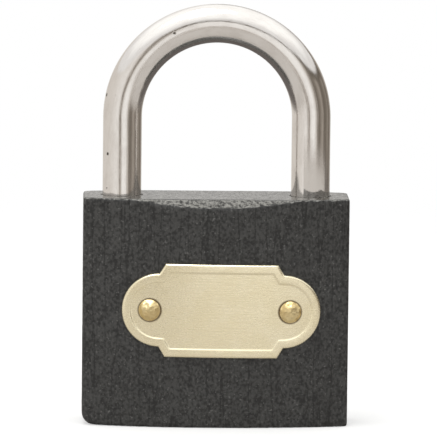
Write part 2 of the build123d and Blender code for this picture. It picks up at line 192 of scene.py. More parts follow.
def turned(profile: Iterable[tuple[float, float]], segments: int, place: Matrix) -> BMesh:
    """Turn a profile round its own axis, as on a lathe.

    Args:
        profile: (radius, height) pairs from one end of the axis to the other.
        segments: Steps in a full turn.
        place: Where the shape's axis and foot go.

    Returns:
        A closed shape.
    """
    bm = bmesh.new()
    chain = [bm.verts.new((radius, 0, height)) for radius, height in profile]
    edges = [bm.edges.new(pair) for pair in zip(chain, chain[1:])]
    bmesh.ops.spin(
        bm, geom=chain + edges, cent=(0, 0, 0), axis=(0, 0, 1), angle=math.tau, steps=segments,
        use_merge=True,
    )
    bmesh.ops.remove_doubles(bm, verts=bm.verts, dist=0.001)
    bmesh.ops.transform(bm, matrix=place, verts=bm.verts)
    bmesh.ops.recalc_face_normals(bm, faces=bm.faces)
    return bm


def carved(bm: BMesh, cutters: Iterable[BMesh], name: str) -> BMesh:
    """Cut closed shapes out of another, one after the other.

    Args:
        bm: The shape to cut, which is freed.
        cutters: The shapes to take away, which are freed.
        name: A name for the work in progress.

    Returns:
        What is left.
    """
    work = as_object(bm, name)
    tools = [as_object(cutter, name + "_tool") for cutter in cutters]
    for tool in tools:
        step = work.modifiers.new("cut", "BOOLEAN")
        step.operation = "DIFFERENCE"
        step.solver = "MANIFOLD"
        step.object = tool
    result = evaluated(work)
    for obj in [work, *tools]:
        discard(obj)
    return result


def evaluated(obj: Object) -> BMesh:
    """Read an object with its modifiers applied.

    Args:
        obj: The object.

    Returns:
        Its final shape.
    """
    graph = bpy.context.evaluated_depsgraph_get()
    bm = bmesh.new()
    bm.from_object(obj, graph)
    return bm


def discard(obj: Object) -> None:
    """Remove an object and its mesh.

    Args:
        obj: The object.
    """
    mesh = obj.data
    bpy.data.objects.remove(obj)
    bpy.data.meshes.remove(mesh)


# ---- Shader building ----


class Nodes:
    """Adds nodes to a tree and wires them, so that a finish reads as a list of steps."""

    def __init__(self, tree: NodeTree) -> None:
        """Work on an empty or new tree."""
        self.tree = tree

    def add(self, kind: str, **settings: object) -> Node:
        """Add one node and set its properties.

        Args:
            kind: The node's type, without the leading ShaderNode.
            settings: Properties of the node.

        Returns:
            The node.
        """
        node = self.tree.nodes.new("ShaderNode" + kind)
        for key, value in settings.items():
            setattr(node, key, value)
        return node

    def feed(self, socket: NodeSocket, value: Value) -> None:
        """Link a socket to an input, or set the input's own value.

        Args:
            socket: The input.
            value: A socket, a number, a vector or a colour.
        """
        if isinstance(value, NodeSocket):
            self.tree.links.new(value, socket)
        elif isinstance(value, tuple) and len(value) == 3 and socket.type == "RGBA":
            socket.default_value = (*value, 1.0)
        else:
            socket.default_value = value

    def combine(self, kind: str, operation: str, values: Iterable[Value]) -> Node:
        """Place a Math or VectorMath node and feed it its values in order.

        Args:
            kind: The node's type.
            operation: What it does with the values.
            values: Its inputs.

        Returns:
            The node.
        """
        node = self.add(kind, operation=operation)
        for socket, value in zip(node.inputs, values):
            self.feed(socket, value)
        return node

    def math(self, operation: str, *values: Value) -> NodeSocket:
        """Combine numbers by a Math operation."""
        return self.combine("Math", operation, values).outputs[0]

    def vector(self, operation: str, *values: Value) -> Node:
        """Combine vectors; which of the node's outputs to use depends on the operation."""
        return self.combine("VectorMath", operation, values)

    def noise(self, vector: Value, scale: Value, detail: float, roughness: float) -> NodeSocket:
        """Soft fractal noise.

        Args:
            vector: Where to read it.
            scale: Its scale.
            detail: Octaves.
            roughness: How strong the fine octaves are.

        Returns:
            A value around one half.
        """
        node = self.add("TexNoise")
        given = {"Vector": vector, "Scale": scale, "Detail": detail, "Roughness": roughness}
        for name, value in given.items():
            self.feed(node.inputs[name], value)
        return node.outputs[0]

    def spread(self, value: Value, low: Value, high: Value, to_low: Value = 0.0,
               to_high: Value = 1.0) -> NodeSocket:
        """Stretch a value from one range to another, smoothly and clamped.

        Args:
            value: The value.
            low: What becomes to_low.
            high: What becomes to_high.
            to_low: The new low end.
            to_high: The new high end.

        Returns:
            The stretched value.
        """
        node = self.add("MapRange", interpolation_type="SMOOTHSTEP")
        for socket, given in zip(node.inputs[:5], (value, low, high, to_low, to_high)):
            self.feed(socket, given)
        return node.outputs[0]

    def product(self, first: Value, *others: Value) -> NodeSocket:
        """Multiply numbers.

        Args:
            first: A number.
            others: The numbers to multiply it by.

        Returns:
            The product.
        """
        for other in others:
            first = self.math("MULTIPLY", first, other)
        return first

    def mix(self, factor: Value, first: Value, second: Value) -> NodeSocket:
        """Mix two colours.

        Args:
            factor: How much of the second.
            first: A colour.
            second: Another colour.

        Returns:
            The mixed colour.
        """
        node = self.add("Mix", data_type="RGBA")
        self.feed(node.inputs[0], factor)
        self.feed(node.inputs[6], first)
        self.feed(node.inputs[7], second)
        return node.outputs[2]

    def scaled(self, vector: Value, scale: tuple[float, ...]) -> NodeSocket:
        """Stretch a pattern's coordinates.

        Args:
            vector: The place that the pattern is read at.
            scale: The stretch along each axis; below 1 draws the pattern out.

        Returns:
            The new place.
        """
        node = self.add("Mapping")
        self.feed(node.inputs["Vector"], vector)
        node.inputs["Scale"].default_value = scale
        return node.outputs[0]

    def object_place(self) -> NodeSocket:
        """The point's own place, in metres."""
        return self.add("TexCoord").outputs["Object"]

    def pattern_place(self, source: NodeSocket | None = None) -> NodeSocket:
        """A place moved off the planes through the origin, where noise repeats itself."""
        off = (0.7313, 0.3171, 0.5239)
        return self.vector("ADD", source or self.object_place(), off).outputs["Vector"]

    def axes(self, vector: NodeSocket) -> bpy.types.NodeOutputs:
        """Split a vector.

        Args:
            vector: The vector.

        Returns:
            Its three numbers by the names X, Y and Z.
        """
        split = self.add("SeparateXYZ")
        self.feed(split.inputs[0], vector)
        return split.outputs

    def facing_up(self, low: float, high: float) -> NodeSocket:
        """A mask of what faces up, from none at a normal's height low to all at high."""
        normal = self.add("NewGeometry").outputs["Normal"]
        return self.spread(self.axes(normal)["Z"], low, high)

    def bump(self, height: Value, distance: float, under: NodeSocket | None = None) -> NodeSocket:
        """Tilt the surface by a height.

        Args:
            height: The height, from 0 to 1.
            distance: What a height of 1 stands for, in metres.
            under: The normal below it.

        Returns:
            The new normal.
        """
        node = self.add("Bump")
        self.feed(node.inputs["Height"], height)
        node.inputs["Distance"].default_value = distance
        if under is not None:
            self.feed(node.inputs["Normal"], under)
        return node.outputs[0]


class Effect(Enum):
    """Shader groups that several finishes share: title, inputs and outputs."""

    GRAIN = ("pebbled grain", ("Vector", "Scale"), ("Height", "Mottle"))
    WEAR = ("edge wear", ("Vector", "Scale", "Width", "Amount"), ("Mask",))
    SCRATCHES = ("drawn scratches", ("Vector", "Scale"), ("Height",))
    DUST = ("settled dust", ("Vector", "Scale", "Amount"), ("Mask",))


class EffectGroup(Nodes):
    """One shared shader group, filled when it is first asked for."""

    def __init__(self, effect: Effect) -> None:
        """Make the group's tree with its sockets and fill it.

        Args:
            effect: Which group.
        """
        title, takes, gives = effect.value
        super().__init__(bpy.data.node_groups.new(title, "ShaderNodeTree"))
        for name in takes:
            kind = "NodeSocketVector" if name == "Vector" else "NodeSocketFloat"
            self.tree.interface.new_socket(name, in_out="INPUT", socket_type=kind)
        for name in gives:
            self.tree.interface.new_socket(name, in_out="OUTPUT", socket_type="NodeSocketFloat")
        self.given = self.tree.nodes.new("NodeGroupInput").outputs
        self.made = self.tree.nodes.new("NodeGroupOutput").inputs
        fill = {Effect.GRAIN: self.grain, Effect.WEAR: self.wear, Effect.SCRATCHES: self.scratches,
                Effect.DUST: self.dust}
        fill[effect]()

    @classmethod
    def tree_of(cls, effect: Effect) -> NodeTree:
        """The group's tree, made now if it isn't made already."""
        title = effect.value[0]
        return bpy.data.node_groups[title] if title in bpy.data.node_groups else cls(effect).tree

    def grain(self) -> None:
        """A pebbled height and a slow mottle, from a place and a grain size."""
        place, fine = self.given["Vector"], self.given["Scale"]
        pebbles = self.noise(place, fine, 3.0, 0.55)
        lumps = self.noise(place, self.product(fine, 0.31), 2.0, 0.5)
        height = self.math("ADD", self.product(pebbles, 0.8), self.product(lumps, 0.2))
        self.feed(self.made["Height"], height)
        clouds = self.noise(place, self.product(fine, 0.06), 3.0, 0.6)
        self.feed(self.made["Mottle"], self.spread(clouds, 0.35, 0.65))

    def wear(self) -> None:
        """A mask along outside edges, broken up by noise."""
        soft = self.add("Bevel", samples=4)
        self.feed(soft.inputs["Radius"], self.given["Width"])
        sharp = self.add("NewGeometry").outputs["Normal"]
        along = self.vector("DOT_PRODUCT", soft.outputs[0], sharp).outputs["Value"]
        edge = self.spread(along, 0.985, 0.8)
        flakes = self.noise(self.given["Vector"], self.given["Scale"], 4.0, 0.65)
        broken = self.spread(flakes, 0.42, 0.62)
        self.feed(self.made["Mask"], self.product(edge, broken, self.given["Amount"]))

    def scratches(self) -> None:
        """Long fine scratches along the pattern's own Z."""
        drawn = self.scaled(self.given["Vector"], (1.0, 1.0, 0.02))
        self.feed(self.made["Height"], self.noise(drawn, self.given["Scale"], 4.0, 0.7))

    def dust(self) -> None:
        """A mask of fine dust on what faces up."""
        upward = self.facing_up(0.35, 1.0)
        cloud = self.noise(self.given["Vector"], self.given["Scale"], 5.0, 0.7)
        patchy = self.spread(cloud, 0.3, 0.75)
        self.feed(self.made["Mask"], self.product(upward, patchy, self.given["Amount"]))


class Finish(Nodes):
    """A material with its Principled shader and the shared effects at hand."""

    def __init__(self, name: str) -> None:
        """Start a material.

        Args:
            name: The material's name.
        """
        self.material = bpy.data.materials.new(name)
        self.material.use_nodes = True
        super().__init__(self.material.node_tree)
        self.shader = self.tree.nodes["Principled BSDF"]

    def effect(self, effect: Effect, **inputs: Value) -> Node:
        """Place a shared effect.

        Args:
            effect: Which one.
            inputs: Its inputs by name.

        Returns:
            The group's node.
        """
        node = self.add("Group")
        node.node_tree = EffectGroup.tree_of(effect)
        for name, value in inputs.items():
            self.feed(node.inputs[name], value)
        return node

    def set(self, name: str, value: Value) -> None:
        """Set or link one of the shader's inputs."""
        self.feed(self.shader.inputs[name], value)


@dataclass(frozen=True)
class Enamel:
    """Dark grey enamel that has dried wrinkled over cast iron."""

    name: str = "wrinkled_enamel"
    # hollow and lit_crest: shaded and lit copies of the one paint; the grain's hollows get painted shade,
    # its crests painted light
    hollow: Colour = (0.0075, 0.0075, 0.0073)
    lit_crest: Colour = (0.042, 0.042, 0.0405)
    # painted_glint: painted highlights, light flecks that stand in for glints on the grain
    painted_glint: Colour = (0.15, 0.15, 0.145)
    dust: Colour = (0.30, 0.295, 0.27)
    iron: Colour = (0.24, 0.23, 0.21)
    # bevel_glint: painted highlights, light lumps on the upward bevels where the overhead light glints on
    # them
    bevel_glint: Colour = (0.31, 0.305, 0.285)
    grain_per_metre: float = 1900.0
    ribs_per_metre: float = 420.0
    lumps_per_metre: float = 2000.0
    grain_depth: float = 0.26 * MM
    dust_per_metre: float = 1400.0
    dust_amount: float = 0.4
    wear_per_metre: float = 900.0
    wear_width: float = 0.35 * MM
    wear_amount: float = 0.7

    def build(self) -> Material:
        """Make the material.

        Returns:
            The material.
        """
        f = Finish(self.name)
        place = f.pattern_place()
        level = f.facing_up(0.9, 0.985)
        sloped = f.math("SUBTRACT", f.facing_up(0.4, 0.55), f.facing_up(0.8, 0.92))
        tall = f.scaled(place, (1.0, 1.0, 0.8))
        grain = f.effect(Effect.GRAIN, Vector=tall, Scale=self.grain_per_metre)
        ribs = f.noise(f.scaled(place, (1.0, 1.0, 0.05)), self.ribs_per_metre, 1.0, 0.5)
        crease = f.spread(f.math("ABSOLUTE", f.math("SUBTRACT", ribs, 0.5)), 0.0, 0.03, 0.8, 1.0)
        height = f.product(grain.outputs["Height"], crease)
        # Painted shade and light: the paint is darker in the grain's hollows and lighter on its crests,
        # by height
        paint = f.mix(f.spread(height, 0.36, 0.62), self.hollow, self.lit_crest)
        paint = f.mix(f.product(grain.outputs["Mottle"], 0.15), paint, self.hollow)
        # Painted highlights: sparse light flecks where the grain would glint
        speck = f.noise(place, self.grain_per_metre * 1.3, 1.0, 0.5)
        paint = f.mix(f.spread(speck, 0.64, 0.76, 0.0, 0.5), paint, self.painted_glint)
        # Painted highlights: light lumps on the upward bevels stand in for glints from the overhead light
        lumps = f.noise(f.scaled(place, (0.7, 1.0, 1.0)), self.lumps_per_metre, 4.0, 0.7)
        paint = f.mix(f.product(sloped, f.spread(lumps, 0.38, 0.6)), paint, self.bevel_glint)
        wear = f.effect(
            Effect.WEAR, Vector=place, Scale=self.wear_per_metre, Width=self.wear_width,
            Amount=self.wear_amount,
        )
        paint = f.mix(wear.outputs["Mask"], paint, self.iron)
        dust = f.effect(
            Effect.DUST, Vector=place, Scale=self.dust_per_metre, Amount=self.dust_amount
        )
        f.set("Base Color", f.mix(dust.outputs["Mask"], paint, self.dust))
        rough = f.spread(height, 0.3, 0.7, 0.5, 0.34)
        f.set("Roughness", f.math("SUBTRACT", rough, f.product(level, 0.16)))
        relief = f.product(height, f.spread(level, 0.0, 1.0, 1.0, 0.05))
        relief = f.math("ADD", relief, f.product(lumps, sloped, 2.2))
        f.set("Normal", f.bump(relief, self.grain_depth))
        return f.material


@dataclass(frozen=True)
class PlatedSteel:
    """Bright plated bar, drawn and polished along its length, with a few pits."""

    name: str = "plated_bar"
    metal: Colour = (0.82, 0.795, 0.77)
    dull: Colour = (0.66, 0.62, 0.59)
    pit: Colour = (0.10, 0.085, 0.07)
    scratches_per_metre: float = 2600.0
    clouds_per_metre: float = 700.0
    pitted_patches_per_metre: float = 160.0
    pits_per_metre: float = 330.0
    pit_depth: float = 0.08 * MM
    scratch_depth: float = 0.022 * MM

    def build(self) -> Material:
        """Make the material.

        Returns:
            The material.
        """
        f = Finish(self.name)
        straight = f.pattern_place(f.add("Attribute", attribute_name="straightened").outputs["Vector"])
        drawn = f.effect(Effect.SCRATCHES, Vector=straight, Scale=self.scratches_per_metre)
        drawn_out = f.scaled(straight, (1, 1, 0.35))
        cloud = f.spread(f.noise(drawn_out, self.clouds_per_metre, 5.0, 0.7), 0.4, 0.68)
        tone = f.mix(f.product(cloud, 0.45), self.metal, self.dull)
        speck = f.add("TexVoronoi", feature="F1")
        f.feed(speck.inputs["Vector"], straight)
        speck.inputs["Scale"].default_value = self.pits_per_metre
        chosen = f.spread(f.noise(straight, self.pitted_patches_per_metre, 1.0, 0.5), 0.6, 0.66)
        hole = f.product(f.spread(speck.outputs["Distance"], 0.13, 0.05), chosen)
        f.set("Base Color", f.mix(hole, tone, self.pit))
        f.set("Metallic", 1.0)
        rough = f.spread(drawn.outputs["Height"], 0.3, 0.75, 0.05, 0.13)
        rough = f.math("ADD", rough, f.product(cloud, 0.03))
        f.set("Roughness", f.math("ADD", rough, f.product(hole, 0.4)))
        lines = f.bump(drawn.outputs["Height"], self.scratch_depth)
        f.set("Normal", f.bump(f.math("SUBTRACT", 1.0, hole), self.pit_depth, lines))
        return f.material


@dataclass(frozen=True)
class Brass:
    """Brass with a drawn or brushed surface, and painted shade round rivet heads where their centres are
    given.
    """

    name: str
    metal: Colour
    tarnish: Colour
    roughness: float
    brushed: tuple[float, ...] = (0.02, 1.0, 1.0)
    grain_per_metre: float = 2600.0
    lines_per_metre: float = 5200.0
    line_depth: float = 0.004 * MM
    sheet_grain: float = 0.02 * MM
    lumps: float = 0.0
    # Painted shade: a dark brown ring on the plate round each rivet head, where the head meets the plate
    rivet_shade: Colour = (0.10, 0.055, 0.015)
    rivet_shade_centres: tuple[tuple[float, float], ...] = ()
    rivet_shade_radius: float = 2.1 * MM
    rivet_shade_width: float = 0.35 * MM

    def build(self) -> Material:
        """Make the material.

        Returns:
            The material.
        """
        f = Finish(self.name)
        place = f.pattern_place()
        grain = f.effect(Effect.GRAIN, Vector=place, Scale=self.grain_per_metre)
        lines = f.noise(f.scaled(place, self.brushed), self.lines_per_metre, 3.0, 0.6)
        tone = f.mix(f.product(grain.outputs["Mottle"], 0.55), self.metal, self.tarnish)
        tone = f.mix(f.spread(lines, 0.4, 0.75, 0.0, 0.35), tone, self.tarnish)
        # Painted shade: darken a ring round each rivet's centre, standing in for the shadow round its
        # head
        for x, z in self.rivet_shade_centres:
            spot = f.vector("MULTIPLY_ADD", f.object_place(), (1, 0, 1), (-x, 0, -z)).outputs["Vector"]
            away = f.vector("LENGTH", spot).outputs["Value"]
            ring = f.spread(away, self.rivet_shade_radius, self.rivet_shade_radius + self.rivet_shade_width, 0.9, 0.0)
            tone = f.mix(ring, tone, self.rivet_shade)
        f.set("Base Color", tone)
        f.set("Metallic", 1.0)
        f.set("Roughness", f.spread(lines, 0.3, 0.7, self.roughness - 0.06, self.roughness + 0.08))
        fine = f.bump(lines, self.line_depth)
        f.set("Normal", f.bump(grain.outputs["Height"], self.sheet_grain + self.lumps, fine))
        return f.material


@dataclass(frozen=True)
class TurnedBrass:
    """Brass faced on a lathe, with rings round the plug's axis."""

    name: str = "turned_brass"
    metal: Colour = (0.78, 0.60, 0.31)
    tarnish: Colour = (0.50, 0.35, 0.16)
    stains_per_metre: float = 900.0
    ring_turn_per_metre: float = 26000.0
    ring_depth: float = 0.004 * MM

    def build(self) -> Material:
        """Make the material.

        Returns:
            The material.
        """
        f = Finish(self.name)
        place = f.object_place()
        flat = f.scaled(place, (1.0, 1.0, 0.0))
        radius = f.vector("LENGTH", flat).outputs["Value"]
        rings = f.math("SINE", f.product(radius, self.ring_turn_per_metre))
        uneven = f.noise(f.pattern_place(place), self.stains_per_metre, 3.0, 0.6)
        f.set("Base Color", f.mix(f.spread(uneven, 0.35, 0.7, 0.0, 0.45), self.metal, self.tarnish))
        f.set("Metallic", 1.0)
        f.set("Roughness", f.spread(uneven, 0.3, 0.7, 0.22, 0.38))
        f.set("Normal", f.bump(rings, self.ring_depth))
        return f.material


@dataclass(frozen=True)
class BareSteel:
    """Plain steel, ground or drawn, with a thin film of oil."""

    name: str
    metal: Colour
    stain: Colour
    roughness: float
    scratches_per_metre: float = 4200.0
    stains_per_metre: float = 5200.0
    scratch_depth: float = 0.005 * MM

    def build(self) -> Material:
        """Make the material.

        Returns:
            The material.
        """
        f = Finish(self.name)
        place = f.pattern_place()
        drawn = f.effect(Effect.SCRATCHES, Vector=place, Scale=self.scratches_per_metre)
        grain = f.effect(Effect.GRAIN, Vector=place, Scale=self.stains_per_metre)
        f.set("Base Color", f.mix(f.product(grain.outputs["Mottle"], 0.6), self.metal, self.stain))
        f.set("Metallic", 1.0)
        lines = drawn.outputs["Height"]
        f.set("Roughness", f.spread(lines, 0.3, 0.7, self.roughness, self.roughness + 0.15))
        f.set("Normal", f.bump(lines, self.scratch_depth))
        return f.material


# ---- Pieces ----


@dataclass
class BodyCasting:
    """The iron body: bowed front and back, bevels above, and every bore drilled."""

    end_depth: float = 12.0
    cast_corner: float = 2.2
    cast_edge: float = 0.9
    ground_edge: float = 0.8
    worn_edge: float = 0.3
    bevel_start: float = 1.41
    bevel_angle: float = 50.0
    bevel_reach: float = 3.0
    skin_size: float = 0.3
    smoothing: int = 4
    skin_relief: float = 0.035
    bevel_relief: float = 0.09
    mouth: float = 0.25
    drill_past: float = 2.0
    leg_room: float = 0.1
    spring_room: float = 0.05
    toe_bore_below_bolt: float = 5.1
    plug_room: float = 0.05
    plug_top_room: float = 0.2
    cam_room: float = 3.5
    cam_top_room: float = 0.3
    plain_end: float = 1.0
    columns: int = 60

    def __post_init__(self) -> None:
        """Measure the model that the casting fits."""
        self.box = Extent.of("body")
        self.half_width = self.box.size.x / 2
        self.height = self.box.high.z
        self.half_depth = self.box.high.y
        rise = self.half_depth - self.end_depth / 2
        self.face_radius = (self.half_width**2 + rise**2) / (2 * rise)

    def face_depth(self, x: float) -> float:
        """How far the front or back face stands from the middle plane at x."""
        return self.half_depth - self.face_radius + math.sqrt(self.face_radius**2 - x**2)

    def bevel_normal(self, side: int) -> Vector:
        """The outward normal of the bevel at the back (1) or the front (-1)."""
        lean = math.radians(self.bevel_angle)
        return Vector((0, side * math.sin(lean), math.cos(lean)))

    def block(self) -> BMesh:
        """Shape the solid block.

        Returns:
            The casting before drilling, with its edges rounded.
        """
        bm = cuboid((2 * self.half_width, self.end_depth, self.height), (0, 0, self.height / 2))
        self.round_edges(bm, self.cast_corner, 8, self.is_cast_corner)
        self.round_edges(bm, self.cast_edge, 6, lambda e: self.is_end_edge(e) and e.verts[0].co.x < 0)
        self.round_edges(bm, self.ground_edge, 6, lambda e: self.is_end_edge(e) and e.verts[0].co.x > 0)
        reach = self.half_width - self.cast_corner - self.plain_end
        cut_across(bm, (reach * (2 * number / self.columns - 1) for number in range(self.columns + 1)))
        for vert in bm.verts:
            vert.co.y *= 2 * self.face_depth(vert.co.x) / self.end_depth
        for side in (-1, 1):
            self.cut_bevel(bm, side)
        self.round_edges(bm, self.worn_edge, 2, lambda e: e.calc_face_angle(0) > math.radians(20))
        return bm

    def cut_bevel(self, bm: BMesh, side: int) -> None:
        """Plane off the bevel at the back or the front.

        Args:
            bm: The block.
            side: 1 for the back, -1 for the front.
        """
        start = Vector((0, side * (self.half_depth - self.bevel_start), self.height))
        cut = bmesh.ops.bisect_plane(
            bm, geom=everything(bm), plane_co=start, plane_no=self.bevel_normal(side),
            clear_outer=True,
        )
        rim = [item for item in cut["geom_cut"] if isinstance(item, bmesh.types.BMEdge)]
        bmesh.ops.contextual_create(bm, geom=rim)

    def is_cast_corner(self, edge: bmesh.types.BMEdge) -> bool:
        """Whether an edge is the lower corner on the cast side."""
        return all(v.co.z < 0.01 and v.co.x < 0.01 - self.half_width for v in edge.verts)

    def is_end_edge(self, edge: bmesh.types.BMEdge) -> bool:
        """Tell whether an edge runs between an end and the front or back face.

        Args:
            edge: The edge.

        Returns:
            True if it does.
        """
        sides = sorted(abs(face.normal.y) for face in edge.link_faces)
        level = max(abs(face.normal.z) for face in edge.link_faces)
        far = min(abs(v.co.x) for v in edge.verts) > self.half_width - self.cast_corner - 0.1
        return far and sides[0] < 0.3 and sides[-1] > 0.9 and level < 0.999

    @staticmethod
    def round_edges(bm: BMesh, size: float, segments: int,
                    wanted: Callable[[bmesh.types.BMEdge], bool]) -> None:
        """Round the edges that a test picks.

        Args:
            bm: The shape.
            size: How far from an edge its rounding starts.
            segments: Steps across the rounding.
            wanted: The test.
        """
        edges = [e for e in bm.edges if len(e.link_faces) == 2 and wanted(e)]
        bmesh.ops.bevel(
            bm, geom=edges, offset=size, offset_type="OFFSET", segments=segments, profile=0.5,
            affect="EDGES", clamp_overlap=True, material=-1,
        )

    def skin(self, bm: BMesh) -> BMesh:
        """Give the block an even fine skin with the unevenness of a casting.

        Args:
            bm: The block, which is freed.

        Returns:
            The same block as an even net of small faces.
        """
        bmesh.ops.recalc_face_normals(bm, faces=bm.faces)
        work = as_object(bm, "casting")
        net = work.modifiers.new("net", "REMESH")
        net.mode = "VOXEL"
        net.voxel_size = self.skin_size
        even = evaluated(work)
        discard(work)
        for _ in range(self.smoothing):
            bmesh.ops.smooth_vert(
                even, verts=even.verts, factor=0.5, use_axis_x=True, use_axis_y=True, use_axis_z=True
            )
        even.normal_update()
        shifts = [vert.normal * self.relief(vert.co, vert.normal) for vert in even.verts]
        for vert, shift in zip(even.verts, shifts):
            vert.co += shift
        return even

    def relief(self, point: Vector, normal: Vector) -> float:
        """Work out how far the casting's surface stands out at a point.

        Args:
            point: The point.
            normal: The surface's normal there.

        Returns:
            The height in millimetres, below zero for a hollow.
        """
        level = abs(normal.z)
        if level > 0.9 or normal.x > 0.9:
            return 0.25 * self.skin_relief * noise.fractal(point * 0.9, 1.0, 2.0, 3)
        flat = min(1.0, max(0.0, (max(abs(c) for c in normal) - 0.85) / 0.1))
        tall = Vector((point.x, point.y, point.z * 0.6))
        rough = flat * self.skin_relief * noise.fractal(tall * 0.8, 1.0, 2.0, 4)
        bevel = max(normal.dot(self.bevel_normal(side)) for side in (-1, 1))
        if bevel > 0.93 and point.z > self.height - self.bevel_reach:
            rough += self.bevel_relief * noise.fractal(point * 1.3, 0.9, 2.0, 3)
        return rough

    def bore(self, along: Along, start: Vector, length: float, radius: float, flare: float = 0,
             segments: int = 64) -> BMesh:
        """Make the shape that a drill takes away.

        Args:
            along: From the hole's floor to its mouth.
            start: The hole's floor, or where it starts inside.
            length: From there to the surface.
            radius: The hole's radius.
            flare: How far the mouth is opened.
            segments: Steps round the hole.

        Returns:
            A closed cutter that runs past the surface.
        """
        past = self.drill_past
        profile = [(0, 0), (radius, 0), (radius, length - flare), (radius + flare + past, length + past),
                   (0, length + past)]
        if not flare:
            profile[2:4] = [(radius, length + past)]
        return turned(profile, segments, Matrix.Translation(start) @ along.value)

    def bores(self) -> list[BMesh]:
        """Make every hole in the body, read off the pieces that fill them.

        Returns:
            The cutters.
        """
        bar, plug, bolt_plug = Extent.of("shackle"), Extent.of("key_plug"), Extent.of("bolt_bore_plug")
        spring, bolt_spring = Extent.of("shackle_spring"), Extent.of("bolt_spring")
        leg = bar.size.y / 2
        heel = Vector((bar.low.x + leg, 0, spring.low.z - self.spring_room))
        toe = Vector((bar.high.x - leg, 0, Extent.of("locking_bolt").centre.z - self.toe_bore_below_bolt))
        bolt = Vector((bolt_spring.low.x - self.spring_room, 0, bolt_plug.centre.z))
        plug_top = Vector((0, 0, plug.high.z + self.plug_top_room))
        cam_top = Vector((0, 0, Extent.of("cam_pin").high.z + self.cam_top_room))
        holes = [
            self.bore(Along.UP, heel, self.height - spring.low.z, leg + self.leg_room, self.mouth),
            self.bore(Along.UP, toe, self.height - toe.z, leg + self.leg_room, self.mouth),
            self.bore(Along.X, bolt, self.half_width - bolt_spring.low.x, bolt_plug.size.y / 2),
            self.bore(Along.DOWN, plug_top, plug_top.z, plug.size.x / 2 + self.plug_room, self.mouth, 96),
            self.bore(Along.DOWN, cam_top, cam_top.z, self.cam_room, segments=96),
        ]
        for number in range(1, 5):
            stop = Extent.of(f"chamber_plug_{number}")
            start = Vector((0, 0, stop.centre.z))
            holes.append(self.bore(Along.X, start, self.half_width, stop.size.y / 2))
        for name in ("shackle_pin", "plug_retaining_pin"):
            pin = Extent.of(name)
            start = Vector((pin.centre.x, pin.low.y, pin.centre.z))
            holes.append(self.bore(Along.Y, start, pin.size.y, pin.size.x / 2))
        return holes

    def make(self, enamel: Material) -> Object:
        """Build the body and dress it.

        Args:
            enamel: Its finish.

        Returns:
            The body's object.
        """
        solid = carved(self.skin(self.block()), self.bores(), "casting")
        body = finished(solid, "body_casting", 40)
        body.data.materials.append(enamel)
        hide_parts("body")
        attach(body, Body.CASE.value)
        return body


